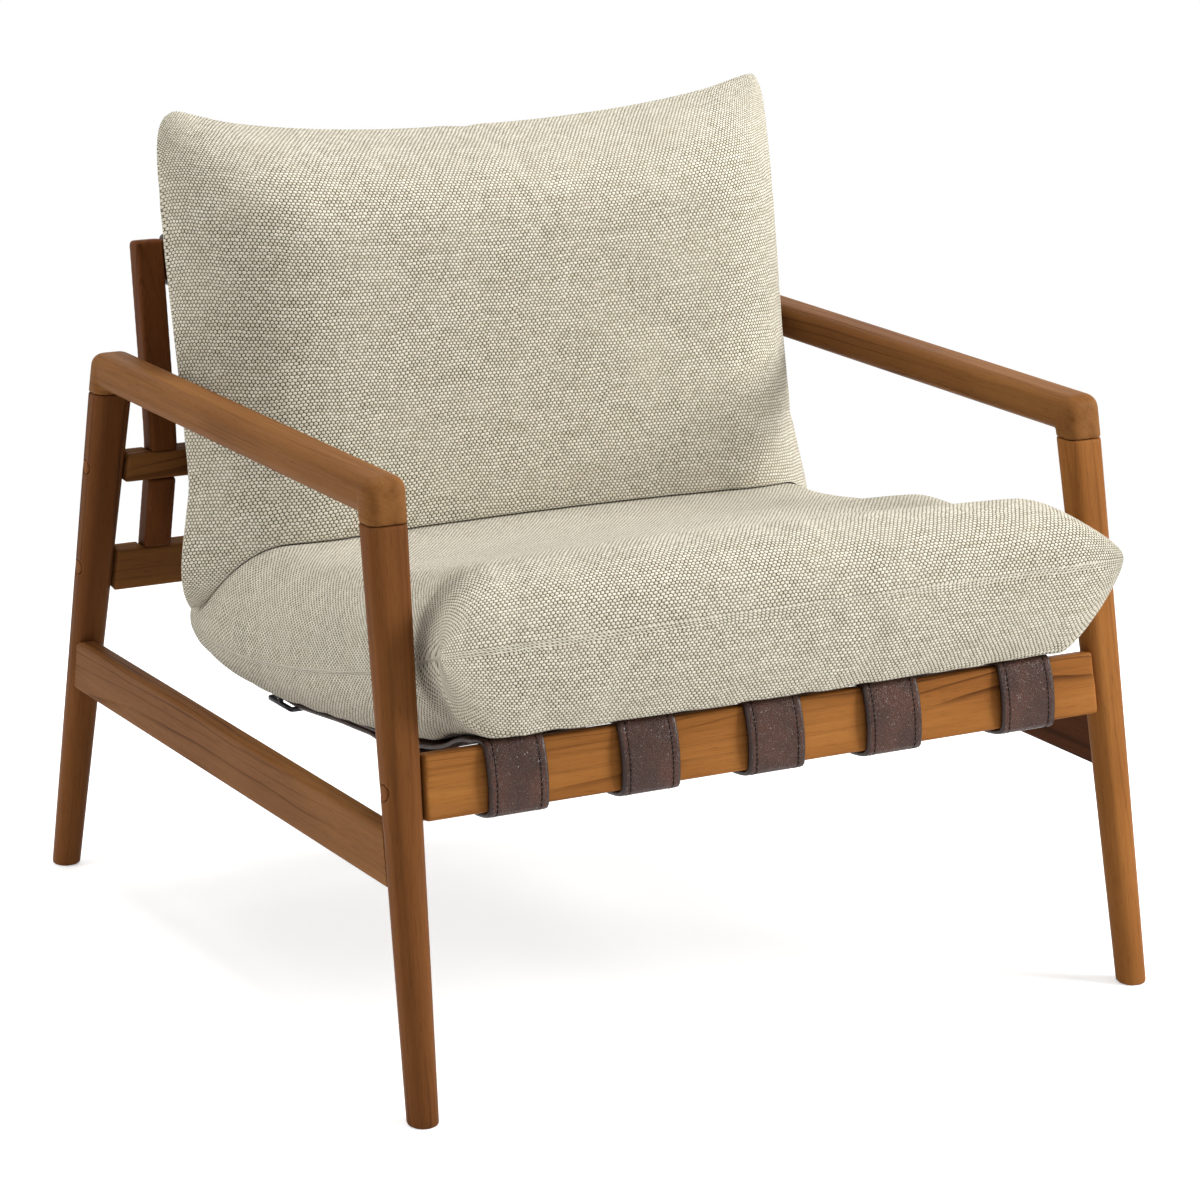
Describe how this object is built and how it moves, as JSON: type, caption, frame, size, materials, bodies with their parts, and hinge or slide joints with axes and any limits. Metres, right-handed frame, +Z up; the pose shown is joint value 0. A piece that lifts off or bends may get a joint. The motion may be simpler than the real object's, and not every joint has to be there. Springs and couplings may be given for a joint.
{
  "type": "strap sling lounge chair",
  "caption": "Open-arm lounge chair: splayed wooden frame, leather straps slung from front rail to top rail, loose seat and back cushions.",
  "frame": {"origin": "on the floor, midway between the four feet", "axes": "+Z up, the chair faces -Y, +X is to the right of a viewer who stands in front of it"},
  "size_m": [0.7364, 0.7744, 0.7384],
  "materials": {
    "wood": "satin oiled teak-like wood",
    "plug_wood": "satin wood",
    "leather": "dark brown pebbled leather",
    "buckle_metal": "black satin",
    "steel": "zinc plated",
    "fabric": "chunky basket weave"
  },
  "bodies": {
    "frame": {"front_leg_left": "wood", "rear_leg_left": "wood", "armrest_left": "wood", "side_rail_left": "wood", "back_post_left": "wood", "front_leg_right": "wood", "rear_leg_right": "wood", "armrest_right": "wood", "side_rail_right": "wood", "back_post_right": "wood", "front_rail": "wood", "upper_back_rail": "wood", "lower_back_rail": "wood", "top_rail": "wood", "strap_1": "leather", "buckle_1": "buckle_metal", "strap_2": "leather", "buckle_2": "buckle_metal", "strap_3": "leather", "buckle_3": "buckle_metal", "strap_4": "leather", "buckle_4": "buckle_metal", "strap_5": "leather", "buckle_5": "buckle_metal", "plug_front_left": "plug_wood", "plug_front_right": "plug_wood", "plug_upper_back_left": "plug_wood", "plug_upper_back_right": "plug_wood", "plug_lower_back_left": "plug_wood", "plug_lower_back_right": "plug_wood", "bolt_front_left": "steel", "barrel_nut_front_left": "steel", "bolt_front_right": "steel", "barrel_nut_front_right": "steel", "bolt_upper_back_left": "steel", "barrel_nut_upper_back_left": "steel", "bolt_upper_back_right": "steel", "barrel_nut_upper_back_right": "steel", "bolt_lower_back_left": "steel", "barrel_nut_lower_back_left": "steel", "bolt_lower_back_right": "steel", "barrel_nut_lower_back_right": "steel", "armrest_tenon_front_left": "plug_wood", "armrest_tenon_rear_left": "plug_wood", "side_rail_tenon_front_left": "plug_wood", "side_rail_tenon_rear_left": "plug_wood", "top_rail_tenon_left": "plug_wood", "armrest_tenon_front_right": "plug_wood", "armrest_tenon_rear_right": "plug_wood", "side_rail_tenon_front_right": "plug_wood", "side_rail_tenon_rear_right": "plug_wood", "top_rail_tenon_right": "plug_wood"},
    "seat_cushion": {"seat_cushion": "fabric"},
    "back_cushion": {"back_cushion": "fabric"}
  },
  "joints": [
    {"name": "seat_cushion_lift", "type": "slide", "parent": "frame", "child": "seat_cushion", "axis": [0, 0, 1], "range_m": [0, 0.03]},
    {"name": "back_cushion_lift", "type": "slide", "parent": "seat_cushion", "child": "back_cushion", "axis": [0, 0, 1], "range_m": [0, 0.04]}
  ]
}
